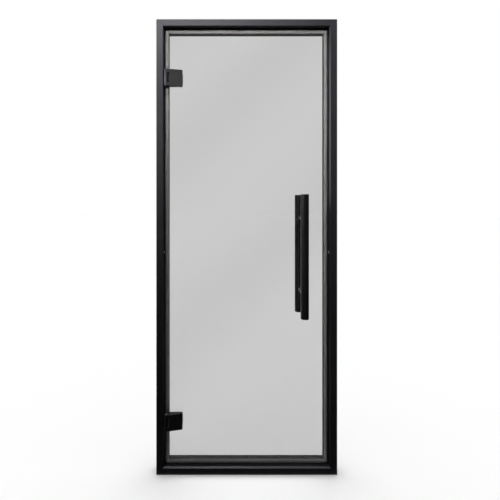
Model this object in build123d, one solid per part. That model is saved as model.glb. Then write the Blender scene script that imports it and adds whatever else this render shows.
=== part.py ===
from build123d import *
import os

# Frame, outside sizes
frame_width = 790.0
frame_height = 1990.0
frame_depth = 54.0

# Frame section: inset runs inward from the outer face, depth runs back from the front face
wall = 2.0
edge_break = 0.8
rebate_inset = 26.0
lip_overhang = 7.0
lip_thickness = 7.0
lip_bevel_inset = 5.0
lip_bevel_depth = 5.5
stop_inset = 51.0
stop_thickness = 24.0
groove_width = 4.0
groove_depth = 4.0

# Glass pane
glass_thickness = 8.0
glass_setback = 18.0
glass_edge_gap = 7.0
glass_corner_radius = 10.0
glass_arris = 0.8

# Seals on the stop
seal_width = 12.0
seal_edge_margin = 1.5
seal_gap = 0.5
seal_channel_radius = 1.2
seal_edge_break = 1.0
seal_fit = 0.1

# Corner cleats and their screws
cleat_arm = 70.0
cleat_depth = 30.0
cleat_fit = 0.1
cleat_screw_inset = 50.0
cleat_screw_radius = 2.5
cleat_screw_head_radius = 4.5
cleat_screw_head_height = 2.0
cleat_screw_length = 16.0

# Wall fixing holes and adjusting screws in the jambs
fixing_radius = 4.0
fixing_end_inset = 120.0
adjuster_height = 970.0
adjuster_radius = 4.0
adjuster_head_radius = 6.5
adjuster_head_height = 7.0
adjuster_socket_radius = 2.5
adjuster_socket_depth = 4.0

# Hinges: fixed knuckle on the jamb, two knuckles and a wedge plate on the glass
lower_hinge_height = 229.0
upper_hinge_drop = 255.0
pivot_depth = 2.0
barrel_radius = 9.5
barrel_lip_gap = 0.5
base_knuckle_height = 42.0
base_lip_gap = 0.5
base_stop_gap = 4.0
base_glass_gap = 1.5
neck_lip_gap = 1.5
neck_overlap = 6.5
leaf_height = 73.0
leaf_reach = 70.0
leaf_edge_thickness = 10.0
leaf_edge_radius = 2.0
leaf_slot_gap = 5.0
hinge_edge_break = 0.8
pin_radius = 4.0
pin_recess = 0.5
pin_edge_break = 0.6
bush_wall = 1.5
bush_flange = 1.0
bush_flange_radius = 8.0
running_clearance = 0.05
pad_thickness = 1.0
pad_margin = 0.5
back_plate_height = 46.0
back_plate_thickness = 6.0
back_plate_corner = 4.0
clamp_screw_spacing = 26.0
clamp_screw_radius = 3.0
clamp_screw_head_radius = 5.6
clamp_screw_head_height = 3.0
clamp_screw_depth = 9.0
clamp_sleeve_wall = 2.8
base_screw_spacing = 24.0
base_screw_radius = 2.5
base_screw_head_radius = 4.7
base_screw_head_height = 2.5
base_screw_tail = 2.0
backing_thickness = 5.0
backing_width = 18.0
backing_height = 60.0

# Pull handle, one bar on each face of the glass
handle_backset = 109.5
handle_height = 958.0
bar_length = 532.0
bar_reach = 55.0
bar_wall = 2.0
outer_bar_radius = 17.5
inner_bar_radius = 20.0
cap_thickness = 3.0
cap_plug_length = 12.0
cap_edge_radius = 1.2
post_spacing = 324.0
post_radius = 9.0
post_bore_depth = 20.0
spigot_radius = 6.0
spigot_length = 4.0
stud_radius = 4.0
handle_sleeve_wall = 2.9
washer_radius = 11.0
washer_thickness = 1.0
grub_radius = 2.5
grub_offset = 8.0

# Small clearance of nested pieces, and overrun of cutting shapes
fit = 0.05
overrun = 1.0

# Places worked out from the sizes above
frame_front = -frame_depth / 2
lip_inset = rebate_inset + lip_overhang
stop_front = frame_depth - stop_thickness
seal_outer = stop_inset - seal_edge_margin - seal_width
seal_middle = seal_outer + seal_width / 2
groove_floor = stop_front + groove_depth
glass_inset = lip_inset + glass_edge_gap
glass_back = glass_setback + glass_thickness
glass_middle = glass_setback + glass_thickness / 2
fixing_depth = (lip_thickness + stop_front) / 2
pivot_inset = lip_inset + barrel_radius + barrel_lip_gap
base_front = lip_thickness + base_lip_gap
base_back = stop_front - base_stop_gap
base_inner = glass_inset - base_glass_gap
base_half = base_knuckle_height / 2
base_middle = (base_front + base_back) / 2
leaf_half = leaf_height / 2
slot_half = base_half + bush_flange
plate_start = pivot_inset + barrel_radius + leaf_slot_gap
plate_end = pivot_inset + leaf_reach
plate_middle = (plate_start + plate_end) / 2
leaf_back = glass_setback - pad_thickness
back_plate_front = glass_back + pad_thickness
back_plate_back = back_plate_front + back_plate_thickness
backing_end = rebate_inset - wall - backing_thickness
bush_radius = pin_radius + running_clearance + bush_wall
clamp_sleeve_radius = clamp_screw_radius + fit + clamp_sleeve_wall
handle_sleeve_radius = stud_radius + fit + handle_sleeve_wall
post_seat = glass_thickness / 2 + washer_thickness
upper_hinge_height = frame_height - upper_hinge_drop
hinge_heights = {"lower": lower_hinge_height, "upper": upper_hinge_height}
clamp_offsets = (-clamp_screw_spacing / 2, clamp_screw_spacing / 2)
base_screw_offsets = (-base_screw_spacing / 2, base_screw_spacing / 2)
post_offsets = {"lower": -post_spacing / 2, "upper": post_spacing / 2}
handle_faces = {"outer": (-1, outer_bar_radius), "inner": (1, inner_bar_radius)}

on_base = (Align.CENTER, Align.CENTER, Align.MIN)
from_corner = (Align.MIN, Align.MIN, Align.MIN)
turned = {"x": Rot(0, 90, 0), "y": Rot(-90, 0, 0), "z": Rot(0, 0, 0)}

# Each frame side in its own axes: x inward, y back, z along the side
frame_sides = {
    "hinge_jamb": Plane((-frame_width / 2, frame_front, 0), x_dir=(1, 0, 0), z_dir=(0, 0, 1)),
    "latch_jamb": Plane((frame_width / 2, frame_front, frame_height), x_dir=(-1, 0, 0), z_dir=(0, 0, -1)),
    "head_rail": Plane((-frame_width / 2, frame_front, frame_height), x_dir=(0, 0, -1), z_dir=(1, 0, 0)),
    "sill_rail": Plane((frame_width / 2, frame_front, 0), x_dir=(0, 0, 1), z_dir=(-1, 0, 0)),
}
hinge_corner = Pos(-frame_width / 2, frame_front, 0)
handle_centre = Pos(
    frame_width / 2 - glass_inset - handle_backset, frame_front + glass_middle, handle_height
)


def rod(direction, radius, start, end):
    """Cylinder along a named axis, from one place on that axis to another."""
    return turned[direction] * (Pos(0, 0, start) * Cylinder(radius, end - start, align=on_base))


def block(x_ends, y_ends, z_ends):
    """Box between two places on each axis."""
    sizes = (x_ends[1] - x_ends[0], y_ends[1] - y_ends[0], z_ends[1] - z_ends[0])
    return Pos(x_ends[0], y_ends[0], z_ends[0]) * Box(*sizes, align=from_corner)


def countersunk(radius, head_radius, head_height, length, room=0):
    """Countersunk screw along +z with its head flush at zero; room widens it into its own hole."""
    head = Pos(0, 0, head_height / 2) * Cone(head_radius + room, radius + room, head_height)
    return head + rod("z", radius + room, 0, length)


def cleat_screw(room=0):
    return countersunk(
        cleat_screw_radius, cleat_screw_head_radius, cleat_screw_head_height, cleat_screw_length, room
    )


def clamp_screw(room=0):
    reach = back_plate_back - leaf_back + clamp_screw_depth
    return countersunk(clamp_screw_radius, clamp_screw_head_radius, clamp_screw_head_height, reach, room)


def base_screw(room=0):
    reach = base_inner - backing_end + base_screw_tail
    return countersunk(base_screw_radius, base_screw_head_radius, base_screw_head_height, reach, room)


# Frame extrusions
def frame_section():
    """Hollow rebated section: front lip, channel, stop with a seal groove."""
    groove_start = seal_middle - groove_width / 2
    groove_end = seal_middle + groove_width / 2
    outside = Polyline(
        (0, edge_break),
        (edge_break, 0),
        (lip_inset - lip_bevel_inset, 0),
        (lip_inset, lip_bevel_depth),
        (lip_inset, lip_thickness),
        (rebate_inset, lip_thickness),
        (rebate_inset, stop_front),
        (groove_start, stop_front),
        (groove_start, groove_floor),
        (groove_end, groove_floor),
        (groove_end, stop_front),
        (stop_inset - edge_break, stop_front),
        (stop_inset, stop_front + edge_break),
        (stop_inset, frame_depth - edge_break),
        (stop_inset - edge_break, frame_depth),
        (edge_break, frame_depth),
        (0, frame_depth - edge_break),
        close=True,
    )
    inside = Polyline(
        (wall, wall),
        (rebate_inset - wall, wall),
        (rebate_inset - wall, stop_front + wall),
        (groove_start - wall, stop_front + wall),
        (groove_start - wall, groove_floor + wall),
        (stop_inset - wall, groove_floor + wall),
        (stop_inset - wall, frame_depth - wall),
        (wall, frame_depth - wall),
        close=True,
    )
    return make_face(outside) - make_face(inside)


def mitred(section, length):
    """Section run along a frame side and cut at 45 degrees at both ends."""
    reach = stop_inset + overrun
    outline = Polyline((0, 0), (reach, reach), (reach, length - reach), (0, length), close=True)
    keep = extrude(Plane.XZ * make_face(outline), amount=frame_depth, both=True)
    return extrude(section, amount=length) & keep


def frame_side(length):
    """One mitred side with the holes for its two cleat screws."""
    side = mitred(frame_section(), length)
    for place in (cleat_screw_inset, length - cleat_screw_inset):
        side -= Pos(0, frame_depth / 2, place) * (turned["x"] * cleat_screw(fit))
    return side


def jamb(adjuster_place):
    """Upright side with two wall fixing holes and a hole for its adjusting screw."""
    side = frame_side(frame_height)
    for place in (fixing_end_inset, frame_height - fixing_end_inset):
        side -= Pos(0, fixing_depth, place) * rod("x", fixing_radius, -overrun, rebate_inset + overrun)
    hole = rod("x", adjuster_radius + fit, -overrun, rebate_inset + overrun)
    return side - Pos(0, fixing_depth, adjuster_place) * hole


def hinge_jamb():
    """Jamb with the screw holes of both hinge bases."""
    side = jamb(adjuster_height)
    for height in hinge_heights.values():
        for offset in base_screw_offsets:
            hole = rod("x", base_screw_radius + fit, backing_end, rebate_inset + overrun)
            side -= Pos(0, base_middle, height + offset) * hole
    return side


def seal(length):
    """Push-in seal: tongue in the groove, body on the stop, a channel between two lips."""
    front = glass_back + seal_gap
    body = Polyline(
        (seal_outer, stop_front),
        (seal_outer, front + seal_edge_break),
        (seal_outer + seal_edge_break, front),
        (seal_outer + seal_width - seal_edge_break, front),
        (seal_outer + seal_width, front + seal_edge_break),
        (seal_outer + seal_width, stop_front),
        (seal_middle + groove_width / 2 - seal_fit, stop_front),
        (seal_middle + groove_width / 2 - seal_fit, groove_floor - seal_fit),
        (seal_middle - groove_width / 2 + seal_fit, groove_floor - seal_fit),
        (seal_middle - groove_width / 2 + seal_fit, stop_front),
        close=True,
    )
    channel = Pos(seal_middle, front) * Circle(seal_channel_radius)
    return mitred(make_face(body) - channel, length)


def adjuster():
    """Adjusting screw along -x: domed head in the channel, tip flush with the jamb's outer face."""
    shank = rod("x", adjuster_radius, 0, rebate_inset)
    head = rod("x", adjuster_head_radius, rebate_inset, rebate_inset + adjuster_head_height)
    rim = head.faces().sort_by(Axis.X)[-1].edges()
    head = fillet(rim, adjuster_head_height / 2)
    top = rebate_inset + adjuster_head_height
    socket = rod("x", adjuster_socket_radius, top - adjuster_socket_depth, top + overrun)
    return shank + head - socket


# Corner cleats, drawn for the lower hinge-side corner
def cleat_screws():
    """The two screws of one cleat, through the jamb and through the rail."""
    sideways = Pos(0, frame_depth / 2, cleat_screw_inset) * (turned["x"] * cleat_screw())
    upright = Pos(cleat_screw_inset, frame_depth / 2, 0) * cleat_screw()
    return [sideways, upright]


def cleat():
    """L-shaped block that fills the hollow of two sides at their mitre."""
    near = wall + cleat_fit
    far = rebate_inset - wall - cleat_fit
    outline = Polyline(
        (near, near),
        (cleat_arm, near),
        (cleat_arm, far),
        (far, far),
        (far, cleat_arm),
        (near, cleat_arm),
        close=True,
    )
    body = extrude(Plane.XZ * make_face(outline), amount=cleat_depth / 2, both=True)
    body = Pos(0, frame_depth / 2, 0) * body
    body -= Pos(0, frame_depth / 2, cleat_screw_inset) * (turned["x"] * cleat_screw(fit))
    return body - Pos(cleat_screw_inset, frame_depth / 2, 0) * cleat_screw(fit)


def at_corners(shape):
    """A lower hinge-side shape placed at all four corners of the frame, by corner name."""
    mid_height = Plane.XY.offset(frame_height / 2)
    lower_hinge = hinge_corner * shape
    lower_latch = mirror(lower_hinge, about=Plane.YZ)
    return {
        "hinge_side_lower": lower_hinge,
        "latch_side_lower": lower_latch,
        "hinge_side_upper": mirror(lower_hinge, about=mid_height),
        "latch_side_upper": mirror(lower_latch, about=mid_height),
    }


# Hinges, drawn from the frame's outer front corner with z zero at the hinge's middle
def hinge_base():
    """Fixed knuckle on a neck, with a foot in the channel behind the lip."""
    heights = (-base_half, base_half)
    foot = block((rebate_inset, base_inner), (base_front, base_back), heights)
    neck = block((lip_inset + neck_lip_gap, pivot_inset), (pivot_depth, base_front + neck_overlap), heights)
    pivot = Pos(pivot_inset, pivot_depth, 0)
    body = foot + neck + pivot * rod("z", barrel_radius, -base_half, base_half)
    body -= pivot * rod("z", pin_radius + fit, -leaf_half, leaf_half)
    for offset in base_screw_offsets:
        body -= Pos(base_inner, base_middle, offset) * (Rot(0, -90, 0) * base_screw(fit))
    return body


def base_screws():
    screw = Rot(0, -90, 0) * base_screw()
    return [Pos(base_inner, base_middle, offset) * screw for offset in base_screw_offsets]


def backing_plate():
    """Plate inside the jamb that takes the thread of the base screws."""
    depths = (base_middle - backing_width / 2, base_middle + backing_width / 2)
    heights = (-backing_height / 2, backing_height / 2)
    plate = block((backing_end, rebate_inset - wall), depths, heights)
    for offset in base_screw_offsets:
        hole = rod("x", base_screw_radius + fit, backing_end - overrun, rebate_inset)
        plate -= Pos(0, base_middle, offset) * hole
    return plate


def hinge_pin():
    """Plain pin through all three knuckles."""
    end = leaf_half - pin_recess
    pin = rod("z", pin_radius, -end, end)
    pin = chamfer(pin.edges().filter_by(GeomType.CIRCLE), pin_edge_break)
    return Pos(pivot_inset, pivot_depth, 0) * pin


def leaf_plan():
    """Outline from above: the barrel joined by tangents to the wedge plate."""
    barrel = Pos(pivot_inset, pivot_depth) * Circle(barrel_radius)
    plate = Polyline(
        (plate_start, leaf_back), (plate_end, leaf_back), (plate_end, leaf_back - leaf_edge_thickness)
    )
    return make_hull(barrel.edges() + plate.edges())


def hinge_leaf():
    """Wedge plate on the glass with a knuckle above and below the fixed one."""
    leaf = extrude(leaf_plan(), amount=leaf_half, both=True)
    free_edge = leaf.edges().filter_by(Axis.Z).sort_by(Axis.X)[-2:].sort_by(Axis.Y)[0]
    leaf = fillet(free_edge, leaf_edge_radius)
    ends = leaf.faces().sort_by(Axis.Z)[0].edges() + leaf.faces().sort_by(Axis.Z)[-1].edges()
    leaf = chamfer(ends, hinge_edge_break)
    slot_depths = (pivot_depth - barrel_radius - overrun, leaf_back + overrun)
    leaf -= block((lip_inset, plate_start), slot_depths, (-slot_half, slot_half))
    leaf -= Pos(pivot_inset, pivot_depth, 0) * rod("z", bush_radius + fit, -leaf_half, leaf_half)
    for offset in clamp_offsets:
        leaf -= Pos(plate_middle, back_plate_back, offset) * (Rot(90, 0, 0) * clamp_screw(fit))
    return leaf


def bushes():
    """Flanged bush in each leaf knuckle, its flange against the fixed knuckle."""
    sleeve = rod("z", bush_radius, base_half, leaf_half - pin_recess)
    flange = rod("z", bush_flange_radius, base_half, slot_half)
    bush = sleeve + flange - rod("z", pin_radius + running_clearance, 0, leaf_half)
    bush = Pos(pivot_inset, pivot_depth, 0) * bush
    return [bush, mirror(bush, about=Plane.XY)]


def clamp_pad(front, height):
    """Soft pad between the glass and a clamp plate."""
    widths = (plate_start + pad_margin, plate_end - pad_margin)
    half = height / 2 - pad_margin
    pad = block(widths, (front, front + pad_thickness), (-half, half))
    for offset in clamp_offsets:
        hole = rod("y", clamp_screw_radius + fit, front - overrun, front + pad_thickness + overrun)
        pad -= Pos(plate_middle, 0, offset) * hole
    return pad


def back_plate():
    """Clamp plate on the inner face of the glass, with countersunk holes."""
    plan = RectangleRounded(plate_end - plate_start, back_plate_height, back_plate_corner)
    plate = Pos(plate_middle, back_plate_front, 0) * (Rot(-90, 0, 0) * extrude(plan, back_plate_thickness))
    plate = chamfer(plate.faces().sort_by(Axis.Y)[-1].edges(), hinge_edge_break)
    for offset in clamp_offsets:
        plate -= Pos(plate_middle, back_plate_back, offset) * (Rot(90, 0, 0) * clamp_screw(fit))
    return plate


def clamp_screws():
    screw = Rot(90, 0, 0) * clamp_screw()
    return [Pos(plate_middle, back_plate_back, offset) * screw for offset in clamp_offsets]


def clamp_sleeves():
    """Sleeves that keep the clamp screws off the glass."""
    sleeve = rod("y", clamp_sleeve_radius, glass_setback, glass_back)
    sleeve -= rod("y", clamp_screw_radius + fit, glass_setback - overrun, glass_back + overrun)
    return [Pos(plate_middle, 0, offset) * sleeve for offset in clamp_offsets]


# Glass pane
def glass_pane():
    """Pane with rounded corners, ground edges and drilled holes."""
    plan = RectangleRounded(
        frame_width - 2 * glass_inset, frame_height - 2 * glass_inset, glass_corner_radius
    )
    pane = Rot(-90, 0, 0) * extrude(plan, glass_thickness)
    faces = pane.faces().sort_by(Axis.Y)
    pane = chamfer(faces[0].edges() + faces[-1].edges(), glass_arris)
    pane = Pos(0, frame_front + glass_setback, frame_height / 2) * pane
    for height in hinge_heights.values():
        for offset in clamp_offsets:
            hole = rod("y", clamp_sleeve_radius + fit, glass_setback - overrun, glass_back + overrun)
            pane -= hinge_corner * (Pos(plate_middle, 0, height + offset) * hole)
    for offset in post_offsets.values():
        hole = rod("y", handle_sleeve_radius + fit, -glass_thickness, glass_thickness)
        pane -= handle_centre * (Pos(0, 0, offset) * hole)
    return pane


# Pull handle, drawn from the glass's mid-plane with y back and z zero at the bar's middle
def on_face(shape, side):
    """A shape drawn for the inner face, placed on the face that side names."""
    return shape if side > 0 else mirror(shape, about=Plane.XZ)


def handle_bar(side, radius):
    """Tube along z with a hole in its near wall for each post's spigot."""
    end = bar_length / 2 - cap_thickness
    tube = rod("z", radius, -end, end) - rod("z", radius - bar_wall, -end - overrun, end + overrun)
    tube = Pos(0, side * bar_reach, 0) * tube
    for offset in post_offsets.values():
        hole = rod("y", spigot_radius + fit, 0, bar_reach)
        tube -= Pos(0, 0, offset) * on_face(hole, side)
    return tube


def end_cap(side, radius, end):
    """Cap with a plug inside the tube; end is 1 at the top of the bar and -1 at its foot."""
    seat = bar_length / 2 - cap_thickness
    disc = rod("z", radius, seat, bar_length / 2)
    disc = fillet(disc.faces().sort_by(Axis.Z)[-1].edges(), cap_edge_radius)
    cap = disc + rod("z", radius - bar_wall - fit, seat - cap_plug_length, seat)
    cap = Pos(0, side * bar_reach, 0) * cap
    return cap if end > 0 else mirror(cap, about=Plane.XY)


def handle_post(radius):
    """Post along +y: seat at the washer, saddle on the bar, spigot into the bar, bore for the stud."""
    post = rod("y", post_radius, post_seat, bar_reach)
    post -= Pos(0, bar_reach, 0) * rod("z", radius + fit, -bar_reach, bar_reach)
    post += rod("y", spigot_radius, post_seat, bar_reach - radius + bar_wall + spigot_length)
    post -= rod("y", stud_radius + fit, 0, post_seat + post_bore_depth)
    return post - Pos(0, post_seat + grub_offset, 0) * rod("z", grub_radius + fit, -post_radius, 0)


def grub_screw():
    """Grub screw from below that locks a post on its stud."""
    screw = rod("z", grub_radius, -post_radius + fit, -stud_radius - fit)
    return Pos(0, post_seat + grub_offset, 0) * screw


def washer():
    ring = rod("y", washer_radius, glass_thickness / 2, post_seat)
    return ring - rod("y", stud_radius + fit, 0, post_seat + overrun)


def stud():
    """Threaded rod through the glass, held in the posts on both faces."""
    end = post_seat + post_bore_depth - fit
    return rod("y", stud_radius, -end, end)


def handle_sleeve():
    half = glass_thickness / 2
    return rod("y", handle_sleeve_radius, -half, half) - rod("y", stud_radius + fit, -post_seat, post_seat)


def add_frame(parts):
    shapes = {
        "hinge_jamb": hinge_jamb(),
        "latch_jamb": jamb(frame_height - adjuster_height),
        "head_rail": frame_side(frame_width),
        "sill_rail": frame_side(frame_width),
        "hinge_jamb_seal": seal(frame_height),
        "latch_jamb_seal": seal(frame_height),
        "head_rail_seal": seal(frame_width),
        "sill_rail_seal": seal(frame_width),
    }
    for name, shape in shapes.items():
        parts[name] = frame_sides[name.removesuffix("_seal")].location * shape
    for corner, shape in at_corners(cleat()).items():
        parts[corner + "_cleat"] = shape
    screws = []
    for screw in cleat_screws():
        screws += at_corners(screw).values()
    parts["cleat_screws"] = screws
    hinge_adjuster = hinge_corner * (Pos(0, fixing_depth, adjuster_height) * adjuster())
    parts["jamb_adjusters"] = [hinge_adjuster, mirror(hinge_adjuster, about=Plane.YZ)]


def add_hinges(parts):
    singles = {
        "hinge_base": hinge_base(),
        "hinge_pin": hinge_pin(),
        "hinge_backing_plate": backing_plate(),
        "hinge_leaf": hinge_leaf(),
        "hinge_back_plate": back_plate(),
        "hinge_front_pad": clamp_pad(leaf_back, leaf_height),
        "hinge_back_pad": clamp_pad(glass_back, back_plate_height),
    }
    groups = {
        "hinge_bushes": bushes(),
        "hinge_base_screws": base_screws(),
        "hinge_clamp_screws": clamp_screws(),
        "hinge_glass_sleeves": clamp_sleeves(),
    }
    for hinge, height in hinge_heights.items():
        place = hinge_corner * Pos(0, 0, height)
        for name, shape in singles.items():
            parts[hinge + "_" + name] = place * shape
        for name, shapes in groups.items():
            parts.setdefault(name, []).extend(place * shape for shape in shapes)


def add_handle(parts):
    groups = {"handle_studs": [], "handle_glass_sleeves": [], "handle_washers": [], "handle_grub_screws": []}
    for level, offset in post_offsets.items():
        place = handle_centre * Pos(0, 0, offset)
        groups["handle_studs"].append(place * stud())
        groups["handle_glass_sleeves"].append(place * handle_sleeve())
        for face, (side, radius) in handle_faces.items():
            parts[face + "_handle_" + level + "_post"] = place * on_face(handle_post(radius), side)
            groups["handle_washers"].append(place * on_face(washer(), side))
            groups["handle_grub_screws"].append(place * on_face(grub_screw(), side))
    for face, (side, radius) in handle_faces.items():
        parts[face + "_handle_bar"] = handle_centre * handle_bar(side, radius)
        parts[face + "_handle_upper_cap"] = handle_centre * end_cap(side, radius, 1)
        parts[face + "_handle_lower_cap"] = handle_centre * end_cap(side, radius, -1)
    parts.update(groups)


def main():
    parts = {"glass_pane": glass_pane()}
    add_frame(parts)
    add_hinges(parts)
    add_handle(parts)
    os.makedirs("parts", exist_ok=True)
    for name, shape in parts.items():
        solid = Compound(children=shape) if isinstance(shape, list) else shape
        export_step(solid, "parts/" + name + ".step")


main()
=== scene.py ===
import math

import bmesh
import bpy
import numpy as np
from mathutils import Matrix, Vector


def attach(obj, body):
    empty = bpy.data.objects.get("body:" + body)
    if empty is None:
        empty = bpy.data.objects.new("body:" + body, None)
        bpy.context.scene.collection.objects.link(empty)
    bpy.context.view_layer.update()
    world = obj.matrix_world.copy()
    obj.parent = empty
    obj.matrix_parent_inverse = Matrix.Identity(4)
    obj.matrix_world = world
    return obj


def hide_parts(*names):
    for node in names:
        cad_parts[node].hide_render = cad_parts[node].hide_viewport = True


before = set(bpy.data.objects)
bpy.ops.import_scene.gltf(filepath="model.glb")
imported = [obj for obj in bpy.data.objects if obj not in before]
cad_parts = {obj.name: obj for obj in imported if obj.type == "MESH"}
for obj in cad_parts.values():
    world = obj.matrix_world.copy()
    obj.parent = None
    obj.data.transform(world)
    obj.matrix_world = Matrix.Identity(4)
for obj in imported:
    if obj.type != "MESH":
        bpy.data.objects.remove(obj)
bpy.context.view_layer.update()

# Door sizes in metres: inset runs inward from the frame's outer face, depth back from its front face
frame_width = 0.790
frame_height = 1.990
frame_front = -0.027
lip_start = 0.028
lip_inset = 0.033
lip_bevel = 0.0055
lip_back = 0.007
stop_front = 0.030
stop_inset = 0.051
frame_back = 0.054
edge_break = 0.0008
hinge_heights = (0.229, 1.735)
handle_x = 0.2455
handle_height = 0.958
handle_post_rise = 0.162
glass_middle = -0.005

# Seal section, and the angle in degrees past which its edges stay sharp
seal_outer = 0.03625
seal_width = 0.0145
seal_base = 0.0009
seal_bulb = 0.0026
bulb_power = 0.6
tongue_half = 0.0019
tongue_depth = 0.0039
seal_sharp_angle = 50.0

# Countersunk screws: radii of head and shank, heights along the axis, half width of the hexagon socket
clamp_screw_sizes = {
    "head": 0.0056,
    "shank": 0.0030,
    "head_height": 0.0030,
    "length": 0.025,
    "socket_depth": 0.0022,
    "hexagon": 0.0020,
}
base_screw_sizes = {
    "head": 0.0047,
    "shank": 0.0025,
    "head_height": 0.0025,
    "length": 0.0215,
    "socket_depth": 0.0019,
    "hexagon": 0.0015,
}
cleat_screw_sizes = {
    "head": 0.0045,
    "shank": 0.0025,
    "head_height": 0.0020,
    "length": 0.016,
    "socket_depth": 0.0018,
    "hexagon": 0.0015,
}
collar_share = 0.62
screw_rim = 0.0002

# Grub screws
grub_radius = 0.0025
grub_length = 0.0049
grub_socket_depth = 0.0020
grub_hexagon = 0.00125
grub_chamfer = 0.0004
grub_point = 0.0006

# Places of the screws: those in the hinges lie to either side of each hinge's middle height
clamp_screw_x = -0.30975
clamp_screw_back = 0.006
clamp_screw_rise = 0.013
base_screw_x = -0.3565
base_screw_y = -0.01025
base_screw_rise = 0.012
cleat_screw_inset = 0.050
grub_reach = 0.013
grub_drop = 0.00895

# Joint filler along the mitres
bead_width = 0.0005
bead_height = 0.00006

# Ranges of values: a share, where most of a noise lies, and the middle of a softer one
share_range = (0.0, 1.0)
noise_range = (0.3, 0.7)
cloud_range = (0.35, 0.65)

# Relief of the finishes, as the distance of their bumps
coat_relief = 0.0002
line_relief = 0.0001
rubber_relief = 0.0002

# Stretch of the drawn lines by axis, and how strongly rubber mirrors
line_stretch = (1.0, 1.0, 0.02)
rubber_specular = 0.35

# Glass: its colour bare and under the painted sheen, a lighter tone that stands in for reflections; the
# roughness under the sheen, and the sway of the sheen's bands
bare_glass = (0.580, 0.579, 0.579)
painted_sheen_glass = (0.620, 0.619, 0.619)
sheen_roughness = 0.012
glass_ior = 1.5
band_sway = 0.05

# Bands of painted sheen on the glass, lighter colour standing in for reflections: the direction across them,
# and the place and strength of each. The strongest, at the bottom right, also paint light over the glass
# where the floor behind lies in the door's shadow
band_across = (0.669, 0.0, -0.743)
painted_sheen_bands = (
    (-1.72, 0.4),
    (-1.475, 1.0),
    (-1.263, 0.1),
    (-0.985, 1.0),
    (-0.659, 0.0),
    (-0.324, 1.0),
    (-0.07, 0.8),
    (0.24, 1.0),
)

# Photograph: rows and columns of its 500 pixels that fix the camera
image_size = 500.0
door_middle_column = 246.75
door_foot_row = 474.9
eye_column = 223.5
eye_row = 205.0

# Camera in metres: a pixel at the frame's front, the eye's distance, the near limit; sensor in millimetres
metres_per_pixel = 0.004366
eye_distance = 1.5
near_clip = 0.05
sensor = 36.0

# Floor, and the sun that lights it alone: angles in degrees
floor_reach = 40.0
floor_drop = 0.0004
floor_grey = 0.86
floor_light_level = 3.445
floor_light_angle = 84.0
floor_light_tilt = -12.0
floor_light_place = (0.0, 0.6, 3.0)

# Studio cards: bends of each, the edge that they are carried along, and heights and strengths of the light
front_card_bends = ((-4.0, -0.032, 0.002), (-4.0, -1.1, 0.002), (-4.0, -2.9, 4.2))
back_card_bends = ((-4.0, 0.032, 0.002), (-4.0, 2.2, 0.002), (-4.0, 2.2, 4.0))
wide_edge = (8.0, 0.0, 0.0)
side_card_x = 3.2
side_card_front = -3.0
side_card_heights = (0.002, 4.0)
side_edge = (0.0, 5.2, 0.0)
front_card_levels = ((0.0, 0.02), (1.0, 0.08), (2.6, 0.04), (4.2, 0.02))
side_card_levels = ((0.0, 0.02), (0.9, 0.06), (1.6, 0.25), (4.0, 0.30))
back_card_levels = (
    (0.0, 0.15),
    (0.6, 0.40),
    (1.10, 0.40),
    (1.35, 0.12),
    (1.85, 0.12),
    (2.20, 0.45),
    (4.0, 0.45),
)

# Light of the surroundings on what is matt
ambient_level = 0.09


def closed(mesh, merge=1e-7):
    """Merges doubled points and turns every face outwards."""
    work = bmesh.new()
    work.from_mesh(mesh)
    bmesh.ops.remove_doubles(work, verts=work.verts[:], dist=merge)
    bmesh.ops.recalc_face_normals(work, faces=work.faces[:])
    work.to_mesh(mesh)
    work.free()


def skin(name, grid, capped=True):
    """Mesh of a grid of points: each row is a closed ring, neighbouring rows are joined by quads,
    and the two end rows are filled where capped. Doubled points merge, and faces turn outwards."""
    rows, cols = grid.shape[:2]
    row = np.arange(rows - 1)[:, None] * cols
    col = np.arange(cols)[None, :]
    after = (col + 1) % cols
    quads = np.stack([row + col, row + after, row + cols + after, row + cols + col], axis=-1)
    faces = quads.reshape(-1, 4).tolist()
    if capped:
        ring = np.arange(cols)
        faces += [ring[::-1].tolist(), (ring + (rows - 1) * cols).tolist()]
    mesh = bpy.data.meshes.new(name)
    mesh.from_pydata(grid.reshape(-1, 3).tolist(), [], faces)
    closed(mesh)
    return mesh


def joined(name, meshes):
    """One mesh of several, their points and faces set one after the other."""
    work = bmesh.new()
    for mesh in meshes:
        work.from_mesh(mesh)
    whole = bpy.data.meshes.new(name)
    work.to_mesh(whole)
    work.free()
    return whole


def piece(mesh, body, slot, sharp_angle=30.0):
    """Object of a mesh in a slot's finish, riding on a body. It is smooth but for edges sharper than
    the given angle in degrees."""
    mesh.shade_smooth()
    mesh.set_sharp_from_angle(angle=math.radians(sharp_angle))
    made = bpy.data.objects.new(mesh.name, mesh)
    bpy.context.scene.collection.objects.link(made)
    mesh.materials.append(finishes[slot])
    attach(made, body)
    return made


# Node groups
def group(name, inputs, outputs):
    """Shader node group with a Vector input, float inputs and float outputs, and its two end nodes."""
    tree = bpy.data.node_groups.new(name, "ShaderNodeTree")
    tree.interface.new_socket("Vector", in_out="INPUT", socket_type="NodeSocketVector")
    for label, value in inputs.items():
        made = tree.interface.new_socket(label, in_out="INPUT", socket_type="NodeSocketFloat")
        made.default_value = value
    for label in outputs:
        tree.interface.new_socket(label, in_out="OUTPUT", socket_type="NodeSocketFloat")
    return tree, tree.nodes.new("NodeGroupInput"), tree.nodes.new("NodeGroupOutput")


def noise(tree, vector, scale, detail, roughness=0.5):
    """Noise texture on a vector, its scale from a socket."""
    made = tree.nodes.new("ShaderNodeTexNoise")
    made.inputs["Detail"].default_value = detail
    made.inputs["Roughness"].default_value = roughness
    tree.links.new(vector, made.inputs["Vector"])
    tree.links.new(scale, made.inputs["Scale"])
    return made.outputs["Fac"]


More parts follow.
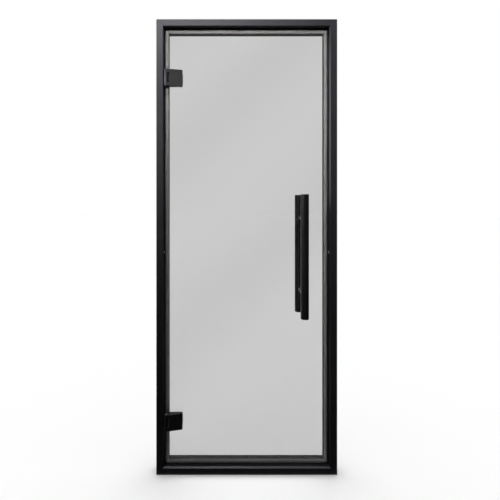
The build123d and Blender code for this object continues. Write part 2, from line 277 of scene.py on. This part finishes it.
def remap(tree, value, source, target):
    """Value taken from one range to another, held at the ends."""
    made = tree.nodes.new("ShaderNodeMapRange")
    made.inputs["From Min"].default_value = source[0]
    made.inputs["From Max"].default_value = source[1]
    made.inputs["To Min"].default_value = target[0]
    made.inputs["To Max"].default_value = target[1]
    tree.links.new(value, made.inputs["Value"])
    return made.outputs["Result"]


def blended(tree, share, first, second):
    """Colour between two, by a share that changes over the surface."""
    made = tree.nodes.new("ShaderNodeMix")
    made.data_type = "RGBA"
    made.inputs["A"].default_value = (*first, 1.0)
    made.inputs["B"].default_value = (*second, 1.0)
    tree.links.new(share, made.inputs["Factor"])
    return next(s for s in made.outputs if s.type == "RGBA")


def stretched(tree, vector, scale):
    """Vector scaled by axis."""
    made = tree.nodes.new("ShaderNodeMapping")
    made.inputs["Scale"].default_value = scale
    tree.links.new(vector, made.inputs["Vector"])
    return made.outputs["Vector"]


def ramp_over(tree, value, stops, interpolation):
    """Ramp through places and strengths, the places taken from their own range to 0 to 1."""
    first, last = stops[0][0], stops[-1][0]
    made = tree.nodes.new("ShaderNodeValToRGB")
    made.color_ramp.interpolation = interpolation
    tree.links.new(remap(tree, value, (first, last), share_range), made.inputs["Fac"])
    elements = made.color_ramp.elements
    while len(elements) < len(stops):
        elements.new(0.5)
    for element, (where, strength) in zip(elements, stops):
        element.position = (where - first) / (last - first)
        element.color = (strength, strength, strength, 1.0)
    return made.outputs["Color"]


def coat_texture():
    """Powder coat: a fine orange peel as height, and a slow mottle for colour and gloss."""
    tree, start, end = group("coat texture", {"Peel Scale": 700.0, "Mottle Scale": 7.0}, ("Peel", "Mottle"))
    vector = start.outputs["Vector"]
    peel = noise(tree, vector, start.outputs["Peel Scale"], detail=2.0)
    tree.links.new(peel, end.inputs["Peel"])
    mottle = noise(tree, vector, start.outputs["Mottle Scale"], detail=4.0, roughness=0.55)
    tree.links.new(remap(tree, mottle, noise_range, share_range), end.inputs["Mottle"])
    return tree


def drawn_lines():
    """Fine lines along z, as on a drawn tube or a brushed part: noise squeezed across, stretched along."""
    tree, start, end = group("drawn lines", {"Line Scale": 260.0}, ("Lines",))
    long_way = stretched(tree, start.outputs["Vector"], line_stretch)
    lines = noise(tree, long_way, start.outputs["Line Scale"], detail=3.0, roughness=0.6)
    tree.links.new(lines, end.inputs["Lines"])
    return tree


def rubber_bloom():
    """Rubber: a close-set speckle as height, and cloudy bloom for colour and gloss."""
    scales = {"Speckle Scale": 1600.0, "Bloom Scale": 22.0}
    tree, start, end = group("rubber bloom", scales, ("Speckle", "Bloom"))
    vector = start.outputs["Vector"]
    speckle = noise(tree, vector, start.outputs["Speckle Scale"], detail=1.0)
    tree.links.new(speckle, end.inputs["Speckle"])
    cloud = noise(tree, vector, start.outputs["Bloom Scale"], detail=3.0)
    tree.links.new(remap(tree, cloud, cloud_range, share_range), end.inputs["Bloom"])
    return tree


def glass_painted_sheen():
    """Glass: a painted sheen, a faint lighter tone in broad soft bands that lean across the pane and stand
    in for reflections, their edges a little wavy. The way across the bands is a dot product, and a ramp over
    it gives each band's strength."""
    tree, start, end = group("glass painted sheen", {"Wave Scale": 1.3}, ("Painted Sheen",))
    vector = start.outputs["Vector"]
    across = tree.nodes.new("ShaderNodeVectorMath")
    across.operation = "DOT_PRODUCT"
    across.inputs[1].default_value = band_across
    tree.links.new(vector, across.inputs[0])
    wave = noise(tree, vector, start.outputs["Wave Scale"], detail=1.0)
    bent = tree.nodes.new("ShaderNodeMath")
    bent.operation = "ADD"
    tree.links.new(across.outputs["Value"], bent.inputs[0])
    tree.links.new(remap(tree, wave, noise_range, (-band_sway, band_sway)), bent.inputs[1])
    # Strength of the painted sheen in each band
    tree.links.new(ramp_over(tree, bent.outputs[0], painted_sheen_bands, "EASE"), end.inputs["Painted Sheen"])
    return tree


effects = {
    "coat": coat_texture(),
    "lines": drawn_lines(),
    "rubber": rubber_bloom(),
    "painted_sheen": glass_painted_sheen(),
}


# Materials
def empty_material(name):
    """Material with nothing but its output node, and its tree."""
    made = bpy.data.materials.new(name)
    made.use_nodes = True
    tree = made.node_tree
    tree.nodes.clear()
    return made, tree, tree.nodes.new("ShaderNodeOutputMaterial")


def finish(name, effect, values):
    """Material with a Principled shader, and one effect on object coordinates with its own values."""
    made, tree, output = empty_material(name)
    shader = tree.nodes.new("ShaderNodeBsdfPrincipled")
    tree.links.new(shader.outputs["BSDF"], output.inputs["Surface"])
    place = tree.nodes.new("ShaderNodeTexCoord")
    used = tree.nodes.new("ShaderNodeGroup")
    used.node_tree = effects[effect]
    tree.links.new(place.outputs["Object"], used.inputs["Vector"])
    for label, number in values.items():
        used.inputs[label].default_value = number
    return made, tree, shader, used


def set_sockets(shader, values):
    """Plain numbers and colours on the shader's own sockets."""
    for label, number in values.items():
        shader.inputs[label].default_value = number


def raise_by(tree, shader, height, strength, distance):
    """Bump from a height, into the shader's normal."""
    bump = tree.nodes.new("ShaderNodeBump")
    bump.inputs["Strength"].default_value = strength
    bump.inputs["Distance"].default_value = distance
    tree.links.new(height, bump.inputs["Height"])
    tree.links.new(bump.outputs["Normal"], shader.inputs["Normal"])


def coated(name, dark, light, gloss, level, peel, strength, tint=(1.0, 1.0, 1.0)):
    """Black powder coat: two near-blacks and a gloss range by the mottle, orange peel as bump."""
    made, tree, shader, used = finish(name, "coat", {"Peel Scale": peel})
    mottle = used.outputs["Mottle"]
    tree.links.new(blended(tree, mottle, dark, light), shader.inputs["Base Color"])
    tree.links.new(remap(tree, mottle, share_range, gloss), shader.inputs["Roughness"])
    raise_by(tree, shader, used.outputs["Peel"], strength, coat_relief)
    set_sockets(shader, {"Specular IOR Level": level, "Specular Tint": (*tint, 1.0)})
    return made


def metal(name, dark, light, gloss, line_scale, strength):
    """Bare metal with drawn lines in its colour, gloss and bump."""
    made, tree, shader, used = finish(name, "lines", {"Line Scale": line_scale})
    lines = used.outputs["Lines"]
    tree.links.new(blended(tree, lines, dark, light), shader.inputs["Base Color"])
    tree.links.new(remap(tree, lines, noise_range, gloss), shader.inputs["Roughness"])
    raise_by(tree, shader, lines, strength, line_relief)
    set_sockets(shader, {"Metallic": 1.0})
    return made


def rubber(name, dark, light, gloss, speckle, strength, cloud=22.0):
    """Rubber or nylon: bloom in its colour and gloss, speckle as bump."""
    made, tree, shader, used = finish(name, "rubber", {"Speckle Scale": speckle, "Bloom Scale": cloud})
    bloom = used.outputs["Bloom"]
    tree.links.new(blended(tree, bloom, dark, light), shader.inputs["Base Color"])
    tree.links.new(remap(tree, bloom, share_range, gloss), shader.inputs["Roughness"])
    raise_by(tree, shader, used.outputs["Speckle"], strength, rubber_relief)
    set_sockets(shader, {"Specular IOR Level": rubber_specular})
    return made


def smoke_glass():
    """Tinted clear glass with a painted sheen in bands. Lamps and bounced light pass through it unbent, so
    what is behind it stays lit.
    """
    made, tree, shader, used = finish("smoke glass", "painted_sheen", {})
    painted_sheen = used.outputs["Painted Sheen"]
    # Painted sheen: the glass colour is lighter along the bands, standing in for reflections; the bands also
    # make it a little rougher.
    tree.links.new(blended(tree, painted_sheen, bare_glass, painted_sheen_glass), shader.inputs["Base Color"])
    tree.links.new(remap(tree, painted_sheen, share_range, (0.0, sheen_roughness)), shader.inputs["Roughness"])
    set_sockets(shader, {"Transmission Weight": 1.0, "IOR": glass_ior})
    path = tree.nodes.new("ShaderNodeLightPath")
    clear = tree.nodes.new("ShaderNodeBsdfTransparent")
    clear.inputs["Color"].default_value = (1.0, 1.0, 1.0, 1.0)
    surface = shader.outputs["BSDF"]
    for ray in ("Is Shadow Ray", "Is Diffuse Ray"):
        mix = tree.nodes.new("ShaderNodeMixShader")
        tree.links.new(path.outputs[ray], mix.inputs[0])
        tree.links.new(surface, mix.inputs[1])
        tree.links.new(clear.outputs["BSDF"], mix.inputs[2])
        surface = mix.outputs["Shader"]
    output = next(n for n in tree.nodes if n.type == "OUTPUT_MATERIAL")
    tree.links.new(surface, output.inputs["Surface"])
    return made


finishes = {
    "frame_black": coated(
        "frame black",
        dark=(0.0028, 0.0029, 0.0034),
        light=(0.0040, 0.0041, 0.0048),
        gloss=(0.44, 0.52),
        level=0.5,
        peel=700.0,
        strength=0.10,
        tint=(0.91, 0.89, 1.0),
    ),
    "hinge_black": coated(
        "hinge black",
        dark=(0.0028, 0.0028, 0.0031),
        light=(0.0042, 0.0042, 0.0046),
        gloss=(0.42, 0.50),
        level=0.40,
        peel=900.0,
        strength=0.10,
    ),
    "handle_black": coated(
        "handle black",
        dark=(0.0020, 0.0020, 0.0023),
        light=(0.0030, 0.0030, 0.0033),
        gloss=(0.34, 0.42),
        level=0.34,
        peel=1100.0,
        strength=0.06,
    ),
    "smoke_glass": smoke_glass(),
    "seal_grey": rubber(
        "seal grey",
        dark=(0.172, 0.166, 0.163),
        light=(0.198, 0.191, 0.187),
        gloss=(0.72, 0.86),
        speckle=1600.0,
        strength=0.04,
        cloud=4.0,
    ),
    "stainless": metal(
        "stainless",
        dark=(0.55, 0.55, 0.555),
        light=(0.68, 0.68, 0.68),
        gloss=(0.22, 0.34),
        line_scale=900.0,
        strength=0.08,
    ),
    "cast_aluminium": metal(
        "cast aluminium",
        dark=(0.50, 0.50, 0.51),
        light=(0.60, 0.60, 0.61),
        gloss=(0.42, 0.60),
        line_scale=180.0,
        strength=0.20,
    ),
    "nylon_black": rubber(
        "nylon black",
        dark=(0.018, 0.018, 0.018),
        light=(0.030, 0.030, 0.030),
        gloss=(0.50, 0.62),
        speckle=2200.0,
        strength=0.10,
    ),
    "pad_black": rubber(
        "pad black",
        dark=(0.016, 0.016, 0.016),
        light=(0.028, 0.028, 0.028),
        gloss=(0.75, 0.90),
        speckle=900.0,
        strength=0.45,
    ),
}

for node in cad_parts.values():
    for place in node.material_slots:
        place.material = finishes[place.material.name]


# Seals
def seal_ring(points):
    """Closed seal section as inset and depth. Across the width the front stands off the stop by a base
    plus a rounded bulb, the bulb a half sine wave of the way across, flattened by a power under one.
    A tongue goes back into the stop's groove."""
    across = np.linspace(0.0, 1.0, points)
    bulb = np.abs(np.sin(np.pi * across)) ** bulb_power
    front = np.stack([seal_outer + seal_width * across, stop_front - seal_base - seal_bulb * bulb], axis=1)
    middle = seal_outer + seal_width / 2
    back = np.array([
        (seal_outer + seal_width, stop_front),
        (middle + tongue_half, stop_front),
        (middle + tongue_half, stop_front + tongue_depth),
        (middle - tongue_half, stop_front + tongue_depth),
        (middle - tongue_half, stop_front),
        (seal_outer, stop_front),
    ])
    return np.concatenate([front, back])


def side_points(side, run, inset, depth):
    """Points of a frame side: run is measured from the side's middle, inset inward, depth back."""
    y = frame_front + depth + np.zeros_like(run)
    middle = frame_height / 2
    if side == "hinge_jamb":
        return np.stack([inset - frame_width / 2, y, middle + run], axis=-1)
    if side == "latch_jamb":
        return np.stack([frame_width / 2 - inset, y, middle + run], axis=-1)
    if side == "head_rail":
        return np.stack([run, y, frame_height - inset], axis=-1)
    return np.stack([run, y, inset + np.zeros_like(run)], axis=-1)


def seal_mesh(side, length, rows=9, points=41):
    """Seal section carried along a side: run is from -1 to 1 of half the side less the inset, so that
    both ends are mitred."""
    ring = seal_ring(points)
    along = np.linspace(-1.0, 1.0, rows)[:, None]
    inset = np.broadcast_to(ring[:, 0], (rows, len(ring)))
    depth = np.broadcast_to(ring[:, 1], (rows, len(ring)))
    run = along * (length / 2 - inset)
    return skin(side + "_lip_seal", side_points(side, run, inset, depth))


for side, length in (
    ("hinge_jamb", frame_height),
    ("latch_jamb", frame_height),
    ("head_rail", frame_width),
    ("sill_rail", frame_width),
):
    made = piece(seal_mesh(side, length), "frame", "seal_grey", seal_sharp_angle)
    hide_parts(side + "_seal")


# Screws
def socket_screw(profile, place, axis, turns=48):
    """Screw turned about its axis. Each row of the profile gives a round radius, a hexagon's half width
    and a height, one of the first two being zero: a hexagon's radius is its half width over the cosine
    of the angle from the middle of the nearest side."""
    angle = np.linspace(0.0, 2.0 * np.pi, turns, endpoint=False)
    flat = 1.0 / np.cos((angle + np.pi / 6) % (np.pi / 3) - np.pi / 6)
    rows = np.array(profile)[:, :, None]
    radius = rows[:, 0] + rows[:, 1] * flat
    local = np.stack([radius * np.cos(angle), radius * np.sin(angle), rows[:, 2] + 0.0 * angle], axis=-1)
    turn = np.array(Vector((0, 0, 1)).rotation_difference(Vector(axis)).to_matrix())
    return skin("screw", local @ turn.T + np.array(place), capped=False)


def countersunk_profile(head, shank, head_height, length, socket_depth, hexagon):
    """Rows of a countersunk screw, from the middle of its socket's floor out over the head and down."""
    return (
        (0.0, 0.0, socket_depth),
        (0.0, hexagon, socket_depth),
        (0.0, hexagon, screw_rim),
        (head * collar_share, 0.0, 0.0),
        (head - screw_rim, 0.0, 0.0),
        (head, 0.0, screw_rim),
        (shank, 0.0, head_height),
        (shank, 0.0, length),
        (0.0, 0.0, length),
    )


def grub_profile():
    """Rows of a headless screw, from the middle of its socket's floor round to its point."""
    return (
        (0.0, 0.0, grub_socket_depth),
        (0.0, grub_hexagon, grub_socket_depth),
        (0.0, grub_hexagon, screw_rim),
        (grub_radius - grub_chamfer, 0.0, 0.0),
        (grub_radius, 0.0, grub_chamfer),
        (grub_radius, 0.0, grub_length - grub_point),
        (grub_radius - grub_point, 0.0, grub_length),
        (0.0, 0.0, grub_length),
    )


def clamp_screws():
    """Two screws through each hinge's back plate, heads to the back."""
    profile = countersunk_profile(**clamp_screw_sizes)
    heights = [height + rise for height in hinge_heights for rise in (-clamp_screw_rise, clamp_screw_rise)]
    return [socket_screw(profile, (clamp_screw_x, clamp_screw_back, z), (0, -1, 0)) for z in heights]


def base_screws():
    """Two screws through each hinge's foot into the jamb."""
    profile = countersunk_profile(**base_screw_sizes)
    heights = [height + rise for height in hinge_heights for rise in (-base_screw_rise, base_screw_rise)]
    return [socket_screw(profile, (base_screw_x, base_screw_y, z), (-1, 0, 0)) for z in heights]


def cleat_screws():
    """Two screws at each corner of the frame, one through the jamb and one through the rail."""
    profile = countersunk_profile(**cleat_screw_sizes)
    half = frame_width / 2
    made = []
    for side in (-1, 1):
        for height in (cleat_screw_inset, frame_height - cleat_screw_inset):
            made.append(socket_screw(profile, (side * half, 0.0, height), (-side, 0, 0)))
        for height, axis in ((0.0, (0, 0, 1)), (frame_height, (0, 0, -1))):
            made.append(socket_screw(profile, (side * (half - cleat_screw_inset), 0.0, height), axis))
    return made


def grub_screws():
    """One screw from below in each handle post, on both faces of the glass."""
    made = []
    for rise in (-handle_post_rise, handle_post_rise):
        for reach in (-grub_reach, grub_reach):
            place = (handle_x, glass_middle + reach, handle_height + rise - grub_drop)
            made.append(socket_screw(grub_profile(), place, (0, 0, 1)))
    return made


for name, screws, body, node in (
    ("clamp_socket_screws", clamp_screws(), "leaf", "hinge_clamp_screws"),
    ("base_socket_screws", base_screws(), "frame", "hinge_base_screws"),
    ("cleat_socket_screws", cleat_screws(), "frame", "cleat_screws"),
    ("post_grub_screws", grub_screws(), "leaf", "handle_grub_screws"),
):
    made = piece(joined(name, screws), body, "stainless")
    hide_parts(node)


# Mitre joints
def mitre_bead(outline, across=5):
    """Hairline of joint filler along a mitre. Rows follow the outline of the frame's section, given as
    inset and depth; each row is a flat lens round the joint's plane, half a sine wave high, set along
    the outline's own outward direction. Gives inset, depth and the distance to either side of the joint."""
    line = np.array(outline)
    step = np.gradient(line, axis=0)
    out = np.stack([step[:, 1], -step[:, 0]], axis=1)
    out /= np.linalg.norm(out, axis=1)[:, None]
    share = np.linspace(0.0, 1.0, across)
    side = np.concatenate([share * 2 - 1, (1 - share[1:-1]) * 2 - 1]) * bead_width / 2
    lift = np.concatenate([np.sin(np.pi * share), -np.sin(np.pi * share[1:-1])]) * bead_height
    inset = line[:, 0, None] + out[:, 0, None] * lift
    depth = line[:, 1, None] + out[:, 1, None] * lift
    return inset, depth, np.broadcast_to(side, inset.shape)


def mitre_meshes():
    """The filler of the front and the back of each corner, laid on the 45 degree plane of its two sides."""
    front = [(edge_break, 0.0), (lip_start, 0.0), (lip_inset, lip_bevel), (lip_inset, lip_back)]
    back = [
        (stop_inset, stop_front + edge_break),
        (stop_inset, frame_back - edge_break),
        (stop_inset - edge_break, frame_back),
        (edge_break, frame_back),
    ]
    made = []
    for outline in (front, back):
        inset, depth, side = mitre_bead(outline)
        for right in (-1, 1):
            for top in (False, True):
                x = right * (frame_width / 2 - inset - side / math.sqrt(2))
                z = inset - side / math.sqrt(2)
                z = frame_height - z if top else z
                points = np.stack([x, frame_front + depth, z], axis=-1)
                made.append(skin("bead", points))
    return made


piece(joined("mitre_joint_filler", mitre_meshes()), "frame", "pad_black")


# Studio
def stage_mesh(name, points, material):
    """Stage surface of a grid of points, quads between neighbours."""
    rows, cols = points.shape[:2]
    row = np.arange(rows - 1)[:, None] * cols
    col = np.arange(cols - 1)[None, :]
    quads = np.stack([row + col, row + col + 1, row + cols + col + 1, row + cols + col], axis=-1)
    mesh = bpy.data.meshes.new(name)
    mesh.from_pydata(points.reshape(-1, 3).tolist(), [], quads.reshape(-1, 4).tolist())
    mesh.materials.append(material)
    made = bpy.data.objects.new(name, mesh)
    bpy.context.scene.collection.objects.link(made)
    return made


def floor_material():
    """Pale matt floor that takes shadows."""
    made, tree, output = empty_material("pale floor")
    matt = tree.nodes.new("ShaderNodeBsdfDiffuse")
    matt.inputs["Color"].default_value = (floor_grey, floor_grey, floor_grey, 1.0)
    tree.links.new(matt.outputs["BSDF"], output.inputs["Surface"])
    return made


def lay_floor():
    """Flat square floor just under the sill, a grid over its two directions."""
    reach = np.linspace(-floor_reach, floor_reach, 3)
    x, y = np.meshgrid(reach, reach)
    floor = stage_mesh("floor", np.stack([x, y, 0.0 * x - floor_drop], axis=-1), floor_material())
    floor.visible_diffuse = False
    return floor


def light_floor(floor):
    """Broad soft sun on the floor alone, so that the door's shadow is soft."""
    lit = bpy.data.collections.new("lit floor")
    lit.objects.link(floor)
    data = bpy.data.lights.new("floor_light", "SUN")
    data.energy = floor_light_level
    data.angle = math.radians(floor_light_angle)
    made = bpy.data.objects.new("floor_light", data)
    made.location = floor_light_place
    made.rotation_euler = (math.radians(floor_light_tilt), 0.0, 0.0)
    made.light_linking.receiver_collection = lit
    bpy.context.scene.collection.objects.link(made)


def all_but(left_out):
    """Group of lit objects for the lamps on the door, everything but the objects left out."""
    lit = bpy.data.collections.new("all but floor and glass")
    for thing in left_out:
        lit.objects.link(thing)
    for member in lit.collection_objects:
        member.light_linking.link_state = "EXCLUDE"
    return lit


def card_material(name, levels):
    """Dim card whose light changes with height: a ramp over z through the given heights and strengths."""
    made, tree, output = empty_material(name)
    light = tree.nodes.new("ShaderNodeEmission")
    place = tree.nodes.new("ShaderNodeTexCoord")
    split = tree.nodes.new("ShaderNodeSeparateXYZ")
    tree.links.new(place.outputs["Object"], split.inputs["Vector"])
    tree.links.new(ramp_over(tree, split.outputs["Z"], levels, "LINEAR"), light.inputs["Strength"])
    tree.links.new(light.outputs["Emission"], output.inputs["Surface"])
    return made


def hang_card(name, bends, edge, levels):
    """Dim card, a line of bends carried along a straight edge; it shows only in gloss."""
    along = np.linspace(0.0, 1.0, 3)[None, :, None]
    points = np.array(bends)[:, None, :] + along * np.array(edge)
    card = stage_mesh(name, points, card_material(name, levels))
    card.visible_camera = False
    card.visible_diffuse = False
    card.visible_transmission = False
    card.visible_shadow = False


def lamp(name, lit, size, place, target, power, spread, shows=True):
    """Area lamp of a width and height on a group of objects, facing a target, its beam held to a spread in
    degrees. One that doesn't show lights what is matt but isn't mirrored in what is glossy."""
    data = bpy.data.lights.new(name, "AREA")
    data.shape = "RECTANGLE"
    data.size, data.size_y = size
    data.energy = power
    data.spread = math.radians(spread)
    made = bpy.data.objects.new(name, data)
    made.location = place
    made.rotation_euler = (Vector(target) - Vector(place)).to_track_quat("-Z", "Y").to_euler()
    made.visible_camera = False
    made.visible_transmission = False
    made.visible_glossy = shows
    made.light_linking.receiver_collection = lit
    bpy.context.scene.collection.objects.link(made)


def seen_directly(tree):
    """1 for rays from the camera, from glossy surfaces and through glass, 0 for the rest."""
    path = tree.nodes.new("ShaderNodeLightPath")
    value = path.outputs["Is Camera Ray"]
    for ray in ("Is Glossy Ray", "Is Transmission Ray"):
        larger = tree.nodes.new("ShaderNodeMath")
        larger.operation = "MAXIMUM"
        tree.links.new(value, larger.inputs[0])
        tree.links.new(path.outputs[ray], larger.inputs[1])
        value = larger.outputs[0]
    return value


def light_world():
    """White surroundings for rays that look at them, a plain ambient level for bounced light."""
    world = bpy.data.worlds.new("studio")
    bpy.context.scene.world = world
    world.use_nodes = True
    tree = world.node_tree
    back = next(n for n in tree.nodes if n.type == "BACKGROUND")
    back.inputs["Color"].default_value = (1.0, 1.0, 1.0, 1.0)
    strength = remap(tree, seen_directly(tree), share_range, (ambient_level, 1.0))
    tree.links.new(strength, back.inputs["Strength"])


def place_camera():
    """Level camera: the lens follows from the distance and the photograph's scale, the shift from the
    eye's row and column."""
    data = bpy.data.cameras.new("camera")
    data.sensor_width = sensor
    data.lens = sensor * eye_distance / (metres_per_pixel * image_size)
    data.shift_x = (image_size / 2 - eye_column) / image_size
    data.shift_y = (eye_row - image_size / 2) / image_size
    data.clip_start = near_clip
    made = bpy.data.objects.new("camera", data)
    x = (eye_column - door_middle_column) * metres_per_pixel
    z = (door_foot_row - eye_row) * metres_per_pixel
    made.location = (x, frame_front - eye_distance, z)
    made.rotation_euler = (math.radians(90.0), 0.0, 0.0)
    bpy.context.scene.collection.objects.link(made)
    bpy.context.scene.camera = made


light_world()
floor = lay_floor()
light_floor(floor)
door_only = all_but((floor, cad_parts["glass_pane"]))
hang_card("front_card", front_card_bends, wide_edge, front_card_levels)
hang_card("back_card", back_card_bends, wide_edge, back_card_levels)
for name, x in (("left_card", -side_card_x), ("right_card", side_card_x)):
    bends = [(x, side_card_front, height) for height in side_card_heights]
    hang_card(name, bends, side_edge, side_card_levels)
lamp(
    "key_lamp",
    door_only,
    size=(1.5, 0.6),
    place=(-0.5, -1.0, 3.2),
    target=(0.0, 0.0, 1.4),
    power=11.0,
    spread=52.0,
)
lamp(
    "fill_lamp",
    door_only,
    size=(0.8, 0.5),
    place=(-0.4, -2.3, 2.1),
    target=(0.0, 0.0, 2.05),
    power=10.0,
    spread=48.0,
    shows=False,
)
lamp(
    "side_lamp",
    door_only,
    size=(0.3, 1.0),
    place=(-1.3, -0.6, 1.9),
    target=(0.25, 0.0, 1.2),
    power=2.6,
    spread=50.0,
)
place_camera()
bpy.context.scene.view_settings.view_transform = "Standard"
